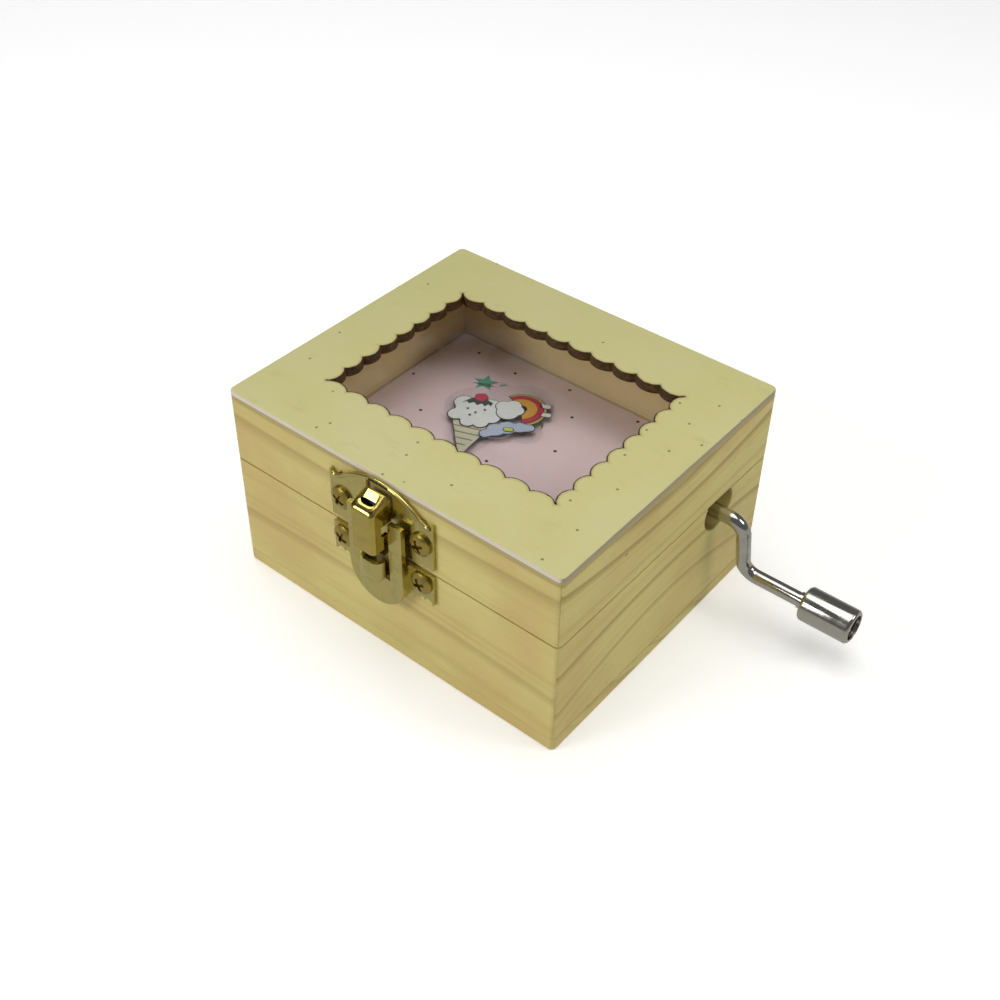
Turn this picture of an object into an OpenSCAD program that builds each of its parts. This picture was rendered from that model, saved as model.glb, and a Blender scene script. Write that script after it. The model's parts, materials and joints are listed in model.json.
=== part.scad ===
// Hand-cranked music box: a small pine case with a hinged lid, a window in the
// lid, a brass toggle latch, and an 18-note movement turned by a side crank.
// Millimetres. Origin: centre of the underside. Front is -Y, crank side is +X, up is +Z.

/* [Case] */
// Width of the case along its front
case_w = 80; // [76:0.5:120]
// Depth of the case, front to back
case_d = 68.5; // [62:0.5:100]
// Height of the base, up to the parting line
base_h = 27.3; // [27:0.1:40]
// Height of the lid with its top panel
lid_h = 16.5; // [16.4:0.1:24]
// Thickness of the case walls
wall_t = 6; // [5:0.1:7.5]
// Thickness of the bottom board
floor_t = 3.2; // [2.6:0.1:4]
// Gap between the lid and the base when closed
parting_gap = 0.2; // [0.1:0.05:0.4]
// Radius of the upright outer corners
corner_r = 1.2; // [0.6:0.1:3]

/* [Lid window] */
// Thickness of the top panel
panel_t = 2; // [1.5:0.1:3]
// Wood left beside the window at each side
window_side = 12.3; // [9:0.1:18]
// Wood left in front of and behind the window
window_end = 14.2; // [10:0.1:20]
// Nominal width of one scallop of the window's edge
scallop_pitch = 5.3; // [4:0.1:8]
// Depth of one scallop
scallop_depth = 1.1; // [0.6:0.1:1.6]
// Thickness of the clear sheet under the panel
sheet_t = 1; // [0.6:0.1:1.5]

/* [Picture floor] */
// Thickness of the board that covers the movement
board_t = 0.8; // [0.5:0.1:0.8]
// Thickness of the printed card on the board
card_t = 0.3; // [0.2:0.05:0.5]
// Thickness of the acrylic charm
charm_t = 2; // [1:0.1:3]
// Thickness of the foam pad under the charm
pad_t = 0.5; // [0.3:0.1:1.5]

/* [Latch] */
// Width of the latch plates
latch_w = 25; // [25:0.1:28]
// Thickness of the latch plates
latch_t = 0.8; // [0.5:0.05:1]
// Width of the latch lever
lever_w = 5.8; // [5:0.1:6]
// Diameter of the latch screws' heads
latch_head_d = 4.8; // [4:0.1:5]
// Diameter of the wood screws' shanks
wood_screw_d = 2; // [1.6:0.1:2.4]

/* [Hinges] */
// Width of one hinge
hinge_w = 12; // [10:0.5:16]
// Distance between the hinges' centres
hinge_spacing = 44; // [30:1:60]
// Diameter of the hinge barrel
barrel_d = 2.8; // [2.4:0.1:3.4]
// Diameter of the hinge pin
hinge_pin_d = 1.4; // [1:0.1:1.6]

/* [Crank] */
// Diameter of the crank rod
rod_d = 3; // [2.4:0.1:3.4]
// Distance from the crank's axis to the knob's axis
arm_l = 14.7; // [12:0.1:15.5]
// Distance from the case's side to the middle of the arm
arm_out = 5.8; // [5:0.1:9]
// Centre-line radius of the rod's bends
bend_r = 3.2; // [2.6:0.1:4]
// Tilt of the arm from straight down, towards the back
arm_tilt = 12; // [0:1:20]
// Diameter of the knob
knob_d = 7.2; // [6:0.1:8.5]
// Length of the knob
knob_l = 10.8; // [9:0.1:14]
// Distance from the arm to the knob's inner end
knob_out = 14; // [10:0.1:18]
// Diameter of the hole in the case for the rod
crank_hole_d = 9.6; // [8:0.1:9.8]

/* [Movement] */
// Teeth on the cylinder's wheel, which turns once for this many crank turns
wheel_teeth = 24; // [24:1:24]
// Module of the worm and wheel
gear_module = 0.5; // [0.5:0.01:0.5]
// Diameter of the cylinder
drum_d = 12.5; // [11:0.1:12.6]
// Number of notes
notes = 18; // [12:1:18]
// Width of one note on the comb
note_pitch = 1; // [0.9:0.01:1.05]
// Thickness of the comb
comb_t = 1; // [0.8:0.1:1.2]
// Diameter of the cylinder's arbor
arbor_d = 2; // [1.6:0.1:2.4]

/* [Fits] */
// Radial clearance of a shaft that turns in a hole
running = 0.05; // [0.02:0.01:0.1]
// Clearance at each side of a piece that drops in
drop_in = 0.15; // [0.1:0.05:0.3]

/* [Hidden] */
$fn = 48;
eps = 0.1; // extra length of a cutting tool past the face that it cuts

// Heights of the case
lid_z = base_h + parting_gap;
top_z = lid_z + lid_h;
lid_wall_h = lid_h - panel_t;
front_y = -case_d / 2;
back_y = case_d / 2;
side_x = case_w / 2;

// The picture floor, which is flush with the base's rim
card_top_z = base_h - 0.05;
board_z = card_top_z - card_t - board_t;
post_size = 5;
charm_at = [-7, 6];
charm_angle = 28;
pad_d = 8;

// The crank's axis, the centre of its hole, and the movement's own axes
crank_z = base_h - 3.4;
crank_hole_z = base_h - 2.6;
crank_y = back_y - wall_t - 11.25;
worm_x = side_x - wall_t - 20;
worm_r = 1.75;
wheel_r = gear_module * wheel_teeth / 2;
thread_pitch = PI * gear_module;
tip_height = 0.4;
root_depth = 0.6;
drum_z = crank_z - worm_r - wheel_r;
thread_turns = 4;
worm_l = 13.6;
collar_r = 1.45;
spindle_d = 1.6;
bracket_t = 1.2;
bracket_w = 7.2;
bracket_top = 1.95; // above the crank's axis
bracket_foot = 4.8;
bedplate_t = 2;
bed_top = floor_t + bedplate_t;
bed_left = worm_x - 28;
bed_right = worm_x + worm_l / 2 + drop_in + bracket_t + bracket_foot + 0.4;
bed_front = crank_y - 30;
bed_back = crank_y + 7.3;
post_t = 2;
post_w = 7;
front_post_y = crank_y - 28;
back_post_y = crank_y + 3.4;
drum_front = crank_y - 25;
drum_back = crank_y - 5;
wheel_t = 1.6;
wheel_hub_d = 5;
wheel_hub_l = 4;
pin_d = 0.4;
pin_h = 0.6;
pins_per_note = 5;
pin_depth = 0.4;
tooth_tip_x = worm_x - drum_d / 2 - pin_h - 0.1;
tooth_l = 10;
comb_body = 7.5;
tooth_gap = 0.25;
comb_w = notes * note_pitch;
comb_mid_y = (drum_front + drum_back) / 2;
comb_z = drum_z - comb_t / 2;
comb_left = tooth_tip_x - tooth_l - comb_body;
machine_screw_d = 2;
fixing_screw_d = 2.4;
fixing_head_d = 5;
fixing_head_h = 1.2;

// Crank, in the plane of its arm, from the crank's axis
arm_x = side_x + arm_out;
knob_x = arm_x + knob_out;
rod_end_x = knob_x + knob_l - 0.9;

// Latch, measured up from the upper plate's lower edge and out from the case's front
upper_z = lid_z + 1.7;
keeper_top = base_h;
plate_h = 9.85;
horn_h = 0.95;
arch_r = 14.25;
arch_half = 10.2;
arch_top = 14.2;
valley_r = 0.95;
slot_half = lever_w / 2 + 0.3;
slot_low = 8.6;
slot_high = 13.25;
latch_screw_x = latch_w / 2 - 2.8;
upper_screw_z = upper_z + 5.2;
keeper_screw_z = keeper_top - 2.35;
screw_l = 5;
head_h = 1.3;
lever_out = 6;
lever_gap = 0.15;
lever_sheet = 0.6;
pivot_out = latch_t + 1.55;
pivot_up = 10.9;
pivot_d = 1.2;
tongue_half = 6.6;
tongue_drop = 5.2;
tongue_top = keeper_top + 9.4;
tongue_out = 2.7;
tongue_t = 1;
fork_half = lever_w / 2 + 0.55;
fork_drop = 4.7;
lip_w = 5.6;
lip_r = 2.3;
lip_t = 0.8;
lip_h = 3.3;
lip_front_r = 1.8;
lip_low_r = 2.3;

// Hinges
hinge_y = back_y + barrel_d / 2 + 0.25;
hinge_z = base_h + parting_gap / 2;
leaf_h = 9;
leaf_t = 0.8;
knuckle_gap = 0.2;
middle_knuckle = 4.6;
hinge_screw_d = 1.4;
hinge_head_d = 2.8;
hinge_screw_x = 3.4;
hinge_screw_up = 5.6;

// Colours
pine = [0.88, 0.77, 0.52];
pale_wood = [0.93, 0.88, 0.68];
pink = [0.87, 0.70, 0.78];
brass = [0.80, 0.66, 0.33];
steel = [0.72, 0.72, 0.73];
clear = [0.85, 0.92, 0.95, 0.4];
zinc = [0.60, 0.61, 0.62];

// ---- Helpers ----

// Upright prism with rounded corners, centred in plan
module rounded_prism(w, d, h, r) {
    linear_extrude(h) {
        square([w - 2 * r, d], center = true);
        square([w, d - 2 * r], center = true);
        for (sx = [-1, 1], sy = [-1, 1])
            translate([sx * (w / 2 - r), sy * (d / 2 - r)])
                circle(r = r);
    }
}

// Places a shape drawn with X right, Y up and Z outwards on the case's front
module on_front() {
    translate([0, front_y, 0])
        rotate([90, 0, 0])
            children();
}

// Places a shape drawn in a Y, Z side view, and extrudes it to a width about X = 0
module side_view(width) {
    rotate([90, 0, 90])
        translate([0, 0, -width / 2])
            linear_extrude(width)
                children();
}

// A screw with its seat at Z = 0 and its head upwards
module screw(head_d, head_h, shank_d, shank_l) {
    edge_h = head_h * 0.4;
    rise = head_h - edge_h;
    dome_r = (head_d * head_d / 4 + rise * rise) / (2 * rise);
    tip_l = shank_d * 0.6;
    cross_l = head_d * 0.56;
    cross_w = head_d * 0.14;
    difference() {
        union() {
            intersection() {
                cylinder(d = head_d, h = head_h);
                translate([0, 0, head_h - dome_r])
                    sphere(r = dome_r);
            }
            translate([0, 0, tip_l - shank_l])
                cylinder(d = shank_d, h = shank_l - tip_l + edge_h / 2);
            translate([0, 0, -shank_l])
                cylinder(d1 = shank_d * 0.3, d2 = shank_d, h = tip_l);
        }
        for (a = [0, 90])
            rotate([0, 0, a])
                translate([-cross_l / 2, -cross_w / 2, head_h * 0.45])
                    cube([cross_l, cross_w, head_h]);
    }
}

// One long or short wall of a frame, mitred at both ends
module front_wall_solid(h) {
    intersection() {
        rounded_prism(case_w, case_d, h, corner_r);
        linear_extrude(h)
            polygon([
                [-side_x, front_y], [side_x, front_y],
                [side_x - wall_t, front_y + wall_t], [-side_x + wall_t, front_y + wall_t]
            ]);
    }
}

module side_wall_solid(h) {
    intersection() {
        rounded_prism(case_w, case_d, h, corner_r);
        linear_extrude(h)
            polygon([
                [side_x, front_y], [side_x, back_y],
                [side_x - wall_t, back_y - wall_t], [side_x - wall_t, front_y + wall_t]
            ]);
    }
}

// ---- Base of the case ----

// Places of the screws that hold the movement down
fixing_places = [
    [bed_left + 3.2, bed_front + 3.2],
    [bed_left + 3.2, bed_back - 3.2],
    [bed_right - 3.2, bed_front + 3.2]
];

module base_bottom_board() {
    color(pine)
        difference() {
            rounded_prism(case_w, case_d, floor_t, corner_r);
            for (p = fixing_places)
                translate([p[0], p[1], -eps]) {
                    cylinder(d = fixing_screw_d + 0.4, h = floor_t + 2 * eps);
                    cylinder(d = fixing_head_d + 0.6, h = fixing_head_h + 0.2 + eps);
                }
        }
}

module base_wall_h() {
    translate([0, 0, floor_t])
        children();
}

module base_front_wall() {
    color(pine)
        difference() {
            base_wall_h() front_wall_solid(base_h - floor_t);
            on_front()
                for (s = [-1, 1])
                    translate([s * latch_screw_x, keeper_screw_z, latch_t - screw_l])
                        cylinder(d = wood_screw_d, h = screw_l);
        }
}

module base_back_wall() {
    color(pine)
        difference() {
            base_wall_h() mirror([0, 1, 0]) front_wall_solid(base_h - floor_t);
            hinge_screw_places(-1)
                translate([0, 0, leaf_t - 4])
                    cylinder(d = hinge_screw_d, h = 4);
        }
}

module base_left_wall() {
    color(pine)
        base_wall_h() mirror([1, 0, 0]) side_wall_solid(base_h - floor_t);
}

module base_right_wall() {
    color(pine)
        difference() {
            base_wall_h() side_wall_solid(base_h - floor_t);
            translate([side_x - wall_t - eps, crank_y, crank_hole_z])
                rotate([0, 90, 0])
                    cylinder(d = crank_hole_d, h = wall_t + 2 * eps);
        }
}

// ---- Picture floor ----

module platform_posts() {
    color(pine)
        for (sx = [-1, 1], sy = [-1, 1])
            translate([
                sx * (side_x - wall_t - post_size / 2),
                sy * (back_y - wall_t - post_size / 2),
                floor_t
            ])
                translate([-post_size / 2, -post_size / 2, 0])
                    cube([post_size, post_size, board_z - floor_t]);
}

module floor_sheet(z, t, clearance) {
    w = case_w - 2 * wall_t - 2 * clearance;
    d = case_d - 2 * wall_t - 2 * clearance;
    translate([-w / 2, -d / 2, z])
        cube([w, d, t]);
}

module platform_board() {
    color([0.75, 0.68, 0.55])
        floor_sheet(board_z, board_t, drop_in);
}

module picture_card() {
    color(pink)
        floor_sheet(board_z + board_t, card_t, drop_in + 0.1);
}

module charm_pad() {
    color("white")
        translate([charm_at[0], charm_at[1], card_top_z])
            cylinder(d = pad_d, h = pad_t);
}

// Outline of the charm: an ice-cream cone beside a round rainbow and a cloud
module charm_outline() {
    polygon([[-10.2, -0.5], [-5.8, -11.8], [-3.8, -11.8], [1.8, -3]]);
    translate([-5, 3]) circle(r = 6.2);
    translate([4.6, 5.6]) circle(r = 6.6);
    translate([1, -1]) circle(r = 4.4);
    translate([6.6, -1.2]) circle(r = 3.4);
    translate([-1, 8.6]) circle(r = 3.6);
}

module acrylic_charm() {
    color(clear)
        translate([charm_at[0], charm_at[1], card_top_z + pad_t])
            rotate([0, 0, charm_angle])
                linear_extrude(charm_t)
                    charm_outline();
}

// ---- Movement ----

// A bearing post that stands on the bedplate and carries one end of the arbor
module arbor_post(y) {
    difference() {
        union() {
            translate([worm_x - post_w / 2, y, floor_t])
                cube([post_w, post_t, drum_z - floor_t]);
            translate([worm_x, y, drum_z])
                rotate([-90, 0, 0])
                    cylinder(d = post_w, h = post_t);
        }
        translate([worm_x, y - eps, drum_z])
            rotate([-90, 0, 0])
                cylinder(d = arbor_d + 2 * running, h = post_t + 2 * eps);
    }
}

comb_screw_places = [
    for (s = [-1, 0, 1]) [comb_left + 3, comb_mid_y + s * (comb_w / 2 - 3)]
];

module movement_bedplate() {
    bay_half = drum_d / 2 + pin_h + 0.6;
    color(zinc)
        difference() {
            union() {
                difference() {
                    translate([bed_left, bed_front, floor_t])
                        cube([bed_right - bed_left, bed_back - bed_front, bedplate_t]);
                    translate([worm_x - bay_half, front_post_y + post_t, floor_t - eps])
                        cube([2 * bay_half, back_post_y - front_post_y - post_t, bedplate_t + 2 * eps]);
                }
                translate([comb_left, comb_mid_y - comb_w / 2 - 1, floor_t])
                    cube([comb_body, comb_w + 2, comb_z - floor_t]);
                arbor_post(front_post_y);
                arbor_post(back_post_y);
            }
            for (p = fixing_places)
                translate([p[0], p[1], floor_t - eps])
                    cylinder(d = fixing_screw_d, h = bedplate_t + 2 * eps);
            for (p = comb_screw_places)
                translate([p[0], p[1], comb_z - 5])
                    cylinder(d = machine_screw_d, h = 5 + eps);
            for (p = bracket_screw_places)
                translate([p[0], p[1], floor_t - eps])
                    cylinder(d = machine_screw_d, h = bedplate_t + 2 * eps);
        }
}

module movement_screws() {
    color(steel)
        for (p = fixing_places)
            translate([p[0], p[1], fixing_head_h + 0.2])
                mirror([0, 0, 1])
                    screw(fixing_head_d, fixing_head_h, fixing_screw_d, bed_top - fixing_head_h - 0.2);
}

// The two bearing brackets stand outside the worm and face away from each other
bracket_face = worm_l / 2 + drop_in;
bracket_screw_places = [
    for (s = [-1, 1]) [worm_x + s * (bracket_face + bracket_t + bracket_foot / 2), crank_y]
];

module bearing_bracket(hole_d) {
    difference() {
        union() {
            translate([bracket_face, crank_y - bracket_w / 2, bed_top])
                cube([bracket_t, bracket_w, crank_z - bed_top]);
            translate([bracket_face, crank_y, crank_z])
                rotate([0, 90, 0])
                    intersection() {
                        cylinder(d = bracket_w, h = bracket_t);
                        translate([-bracket_top, -bracket_w / 2, 0])
                            cube([bracket_w, bracket_w, bracket_t]);
                    }
            translate([bracket_face, crank_y - bracket_w / 2, bed_top])
                cube([bracket_t + bracket_foot, bracket_w, bracket_t]);
        }
        translate([bracket_face - eps, crank_y, crank_z])
            rotate([0, 90, 0])
                cylinder(d = hole_d, h = bracket_t + 2 * eps);
        translate([bracket_face + bracket_t + bracket_foot / 2, crank_y, bed_top - eps])
            cylinder(d = machine_screw_d + 0.2, h = bracket_t + 2 * eps);
    }
}

module bearing_brackets() {
    color(steel)
        translate([worm_x, 0, 0]) {
            bearing_bracket(rod_d + 2 * running);
            mirror([1, 0, 0]) bearing_bracket(spindle_d + 2 * running);
        }
}

module bracket_screws() {
    color(steel)
        for (p = bracket_screw_places)
            translate([p[0], p[1], bed_top + bracket_t])
                screw(3.6, 1, machine_screw_d, bracket_t + bedplate_t);
}

module comb() {
    teeth_y = comb_mid_y - comb_w / 2;
    weight_h = 1.6;
    weight_step = 0.2;
    color(steel)
        difference() {
            union() {
                translate([comb_left, teeth_y - 1, comb_z])
                    cube([comb_body, comb_w + 2, comb_t]);
                translate([comb_left, teeth_y, comb_z])
                    cube([comb_body + tooth_l, comb_w, comb_t]);
                // Weights under the tips of the lower notes
                for (i = [0 : floor(notes / 3)])
                    translate([
                        tooth_tip_x - 3.6,
                        teeth_y + i * note_pitch + tooth_gap,
                        comb_z - weight_h + i * weight_step
                    ])
                        cube([2.6, note_pitch - 2 * tooth_gap, weight_h + eps - i * weight_step]);
            }
            for (i = [1 : notes - 1])
                translate([
                    tooth_tip_x - tooth_l,
                    teeth_y + i * note_pitch - tooth_gap / 2,
                    comb_z - eps
                ])
                    cube([tooth_l + eps, tooth_gap, comb_t + 2 * eps]);
            for (p = comb_screw_places)
                translate([p[0], p[1], comb_z - eps])
                    cylinder(d = machine_screw_d + 0.2, h = comb_t + 2 * eps);
        }
}

module comb_screws() {
    color(steel)
        for (p = comb_screw_places)
            translate([p[0], p[1], comb_z + comb_t])
                screw(3.6, 1, machine_screw_d, comb_t + 4);
}

// Lies along the arbor, from a front end to a back end
module along_arbor(from_y, to_y, d) {
    translate([worm_x, from_y, drum_z])
        rotate([-90, 0, 0])
            cylinder(d = d, h = to_y - from_y);
}

module cylinder_arbor() {
    color(steel)
        along_arbor(front_post_y - 1, back_post_y + post_t + 1, arbor_d);
}

module cylinder_drum() {
    color(brass)
        difference() {
            along_arbor(drum_front, drum_back, drum_d);
            along_arbor(drum_front - eps, drum_back + eps, arbor_d);
        }
}

module cylinder_pins() {
    color(steel)
        for (i = [0 : notes - 1], k = [0 : pins_per_note - 1])
            translate([worm_x, comb_mid_y + (i + 0.5 - notes / 2) * note_pitch, drum_z])
                rotate([0, i * 137.5 + k * 360 / pins_per_note + (i * k * 29) % 40, 0])
                    translate([0, 0, drum_d / 2 - pin_depth])
                        cylinder(d = pin_d, h = pin_depth + pin_h);
}

// Toothed outline of the cylinder's wheel, with one gap at the top
module wheel_outline() {
    step = 360 / wheel_teeth;
    tip_r = wheel_r + tip_height;
    root_r = wheel_r - root_depth;
    tip_half = 1.5;
    root_half = 4;
    polygon([
        for (i = [0 : wheel_teeth - 1])
            let (a = 90 + (i + 0.5) * step)
                for (p = [[-root_half, root_r], [-tip_half, tip_r], [tip_half, tip_r], [root_half, root_r]])
                    [p[1] * cos(a + p[0]), p[1] * sin(a + p[0])]
    ]);
}

module cylinder_wheel() {
    color(brass)
        difference() {
            union() {
                translate([worm_x, crank_y + wheel_t / 2, drum_z])
                    rotate([90, 0, 0])
                        linear_extrude(wheel_t)
                            wheel_outline();
                along_arbor(crank_y - wheel_hub_l / 2, crank_y + wheel_hub_l / 2, wheel_hub_d);
            }
            along_arbor(crank_y - wheel_hub_l, crank_y + wheel_hub_l, arbor_d);
        }
}

// ---- Crank ----

// Radius of the worm's thread at a share of one turn, with the crest at a half
function thread_radius(share) =
    let (
        crest = 0.16,
        foot = 0.24,
        off = abs(share - 0.5),
        slope = min(1, max(0, (foot - off) / (foot - crest / 2)))
    )
    worm_r - root_depth + slope * (tip_height + root_depth);

module crank_worm() {
    points = 24;
    slices_per_turn = 14;
    thread_l = thread_turns * thread_pitch;
    color(brass)
        translate([worm_x, crank_y, crank_z])
            rotate([0, 90, 0])
                difference() {
                    union() {
                        translate([0, 0, -thread_l / 2])
                            linear_extrude(
                                thread_l,
                                twist = -360 * thread_turns,
                                slices = slices_per_turn * thread_turns
                            )
                                polygon([
                                    for (i = [0 : points - 1])
                                        let (a = i * 360 / points, r = thread_radius(i / points))
                                            [r * cos(a + 180), r * sin(a + 180)]
                                ]);
                        for (s = [0, 1])
                            mirror([0, 0, s])
                                translate([0, 0, thread_l / 2])
                                    cylinder(r = collar_r, h = (worm_l - thread_l) / 2);
                    }
                    translate([0, 0, -worm_l / 2 - eps])
                        cylinder(d = spindle_d, h = worm_l + 2 * eps);
                }
}

// Turns its child from the arm's own plane to the arm's rest angle on the crank's axis
module on_crank() {
    translate([0, crank_y, crank_z])
        rotate([arm_tilt, 0, 0])
            children();
}

// A length of round bar along X
module bar_x(from_x, to_x, d) {
    translate([from_x, 0, 0])
        rotate([0, 90, 0])
            cylinder(d = d, h = to_x - from_x);
}

// A quarter bend in the X, Z plane that starts at an angle about its centre
module bend(start) {
    rotate([90, 0, 0])
        rotate([0, 0, start])
            rotate_extrude(angle = 90)
                translate([bend_r, 0])
                    circle(d = rod_d);
}

module crank_rod() {
    spindle_end = worm_x - worm_l / 2 - drop_in - bracket_t - 0.6;
    head_recess = 0.9;
    color(steel)
        on_crank() {
            bar_x(spindle_end, worm_x + worm_l / 2, spindle_d);
            bar_x(worm_x + worm_l / 2, arm_x - bend_r, rod_d);
            translate([arm_x - bend_r, 0, -bend_r])
                bend(0);
            translate([arm_x, 0, -arm_l + bend_r])
                cylinder(d = rod_d, h = arm_l - 2 * bend_r);
            translate([arm_x + bend_r, 0, -arm_l + bend_r])
                bend(180);
            translate([0, 0, -arm_l]) {
                bar_x(arm_x + bend_r, rod_end_x - head_recess, rod_d);
                // Peened head that keeps the knob on, and the crimped ring behind the knob
                bar_x(rod_end_x - head_recess, rod_end_x, rod_d + 1);
                bar_x(knob_x - 1, knob_x - 0.2, rod_d + 0.5);
            }
        }
}

module crank_knob() {
    edge_r = 0.8;
    wall = 1;
    recess = 1.9;
    r = knob_d / 2;
    bore_r = rod_d / 2 + running;
    recess_r = r - wall;
    color(steel)
        on_crank()
            translate([knob_x, 0, -arm_l])
                rotate([0, 90, 0])
                    difference() {
                        union() {
                            translate([0, 0, edge_r])
                                cylinder(r = r, h = knob_l - 2 * edge_r);
                            cylinder(r = r - edge_r, h = knob_l);
                            for (z = [edge_r, knob_l - edge_r])
                                translate([0, 0, z])
                                    rotate_extrude()
                                        translate([r - edge_r, 0])
                                            circle(r = edge_r);
                        }
                        translate([0, 0, -eps])
                            cylinder(r = bore_r, h = knob_l + 2 * eps);
                        translate([0, 0, knob_l - recess])
                            cylinder(r = recess_r, h = recess + eps);
                    }
}

// ---- Latch ----

module upper_plate_outline() {
    translate([-latch_w / 2, upper_z])
        square([latch_w, plate_h]);
    intersection() {
        translate([0, upper_z + arch_top - arch_r])
            circle(r = arch_r, $fn = 96);
        translate([-arch_half, upper_z + 1])
            square([2 * arch_half, arch_top]);
    }
    // Horns at the upper corners, each left standing by a round valley
    for (s = [-1, 1])
        difference() {
            translate([s * (latch_w / 2 - 1.15) - 1.15, upper_z + plate_h - eps])
                square([2.3, horn_h + eps]);
            translate([s * (latch_w / 2 - 1.35), upper_z + plate_h + horn_h])
                circle(r = valley_r);
        }
}

// The two ears are bent forward out of the plate inside the lever's channel
module pivot_ears() {
    ear_t = 0.6;
    py = front_y - pivot_out;
    pz = upper_z + pivot_up;
    for (s = [-1, 1])
        translate([s * 1.7, 0, 0])
            side_view(ear_t) {
                translate([py, pz])
                    circle(r = 1.15);
                polygon([
                    [py - 1.05, pz - 0.4], [py + 0.8, pz + 0.75], [front_y - 0.3, upper_z + 8],
                    [front_y - 0.3, upper_z + 6.6], [front_y - 0.9, upper_z + 6.6]
                ]);
            }
}

module latch_plate() {
    color(brass)
        difference() {
            union() {
                difference() {
                    on_front()
                        linear_extrude(latch_t)
                            upper_plate_outline();
                    on_front()
                        translate([-slot_half, upper_z + slot_low, -eps])
                            cube([2 * slot_half, slot_high - slot_low, latch_t + 2 * eps]);
                }
                pivot_ears();
            }
            on_front()
                for (s = [-1, 1])
                    translate([s * latch_screw_x, upper_screw_z, -eps])
                        cylinder(d = wood_screw_d + 0.2, h = latch_t + 2 * eps);
            translate([-4, front_y - pivot_out, upper_z + pivot_up])
                rotate([0, 90, 0])
                    cylinder(d = pivot_d, h = 8);
        }
}

module latch_pivot_pin() {
    half = lever_w / 2 - lever_sheet + 0.3;
    color(steel)
        translate([-half, front_y - pivot_out, upper_z + pivot_up])
            rotate([0, 90, 0])
                cylinder(d = pivot_d, h = 2 * half);
}

module latch_lever() {
    front = front_y - lever_out;
    rear = front_y - latch_t - lever_gap;
    s = lever_sheet;
    z0 = upper_z;
    half = lever_w / 2 - s + 0.35;
    color(brass)
        difference() {
            side_view(lever_w)
                polygon([
                    [front - 0.1, z0 + 1.5], [front, z0 + 10.6], [front + 0.3, z0 + 11.3],
                    [front + 1, z0 + 11.9], [rear - 1.3, z0 + 12.95], [rear - 0.8, z0 + 12.95],
                    [rear, z0 + 12.2], [rear, z0 + 6.9], [rear - 2.8, z0 + 7],
                    [rear - 2.8, z0 + 4.7], [rear - 1.1, z0 + 4.6], [rear - 1.6, z0 + 1.5]
                ]);
            side_view(lever_w - 2 * s)
                polygon([
                    [front - 0.1 + s, z0 - eps], [front + s, z0 + 10.5], [front + 0.8, z0 + 11.0],
                    [front + 1.3, z0 + 11.3], [rear - 1.3, z0 + 12.3], [rear + 1, z0 + 12.3],
                    [rear + 1, z0 - eps]
                ]);
            translate([-half, front_y - pivot_out, z0 + pivot_up])
                rotate([0, 90, 0])
                    cylinder(d = pivot_d + 2 * running, h = 2 * half);
        }
}

// Rounded tongue of the keeper, drawn to a half width and up to a height
module tongue_outline(half, top) {
    low = keeper_top - tongue_drop;
    translate([0, low])
        circle(r = half);
    translate([-half, low])
        square([2 * half, top - low]);
}

module keeper_outline() {
    side_h = 5.9;
    horn_w = 2.3;
    foot_w = 3.2;
    foot_h = 2.9;
    low = keeper_top - side_h;
    translate([-latch_w / 2 + 0.1, low])
        square([latch_w - 0.2, side_h]);
    for (s = [0, 1])
        mirror([s, 0]) {
            difference() {
                translate([latch_w / 2 - 0.1 - horn_w, low - horn_h])
                    square([horn_w, horn_h + eps]);
                translate([latch_w / 2 - 1.45, low - horn_h])
                    circle(r = valley_r);
            }
            polygon([
                [tongue_half - 1, low + eps], [tongue_half + foot_w, low + eps],
                [tongue_half - 1, low - foot_h]
            ]);
        }
    tongue_outline(tongue_half, keeper_top);
}

// Solid shape of the lip, shrunk by an inset and reaching back past the tongue's face
module lip_solid(inset, reach, extra) {
    half = lip_w / 2 - inset;
    r = lip_r - inset;
    front_r = lip_front_r - inset;
    low_r = lip_low_r - inset;
    cy = front_y - tongue_out;
    cz = keeper_top - fork_drop + lip_r - lip_t;
    high = cz + lip_h + extra;
    intersection() {
        // Curve from the tongue out and up
        side_view(2 * half)
            translate([cy, cz]) {
                intersection() {
                    circle(r = r);
                    translate([-r, -r])
                        square([r + reach, r + eps]);
                }
                translate([-r, 0])
                    square([r + reach, high - cz]);
                translate([0, -r])
                    square([reach, r + eps]);
            }
        // Rounded front corners in plan
        translate([0, 0, cz - lip_r - 1])
            linear_extrude(lip_r + lip_h + 3) {
                translate([-half, cy - r + front_r])
                    square([2 * half, r - front_r + reach + 1]);
                translate([-half + front_r, cy - r])
                    square([2 * (half - front_r), r + reach + 1]);
                for (s = [-1, 1])
                    translate([s * (half - front_r), cy - r + front_r])
                        circle(r = front_r);
            }
        // Rounded lower corners from the front
        on_front()
            linear_extrude(tongue_out + lip_r + 1) {
                translate([-half, cz - r + low_r])
                    square([2 * half, r - low_r + lip_h + 2]);
                translate([-half + low_r, cz - r])
                    square([2 * (half - low_r), r + lip_h + 2]);
                for (s = [-1, 1])
                    translate([s * (half - low_r), cz - r + low_r])
                        circle(r = low_r);
            }
    }
}

// The lip curls out of the tongue like a scoop that is open at its top and back
module keeper_lip() {
    low = keeper_top - fork_drop - lip_t;
    difference() {
        lip_solid(0, eps / 2, 0);
        lip_solid(lip_t, 1, 1);
    }
    // Root of the lip in the tongue's face
    on_front()
        translate([-lip_w / 2 + lip_low_r, low, tongue_out - tongue_t])
            cube([lip_w - 2 * lip_low_r, lip_t, tongue_t + eps / 2]);
}

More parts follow.
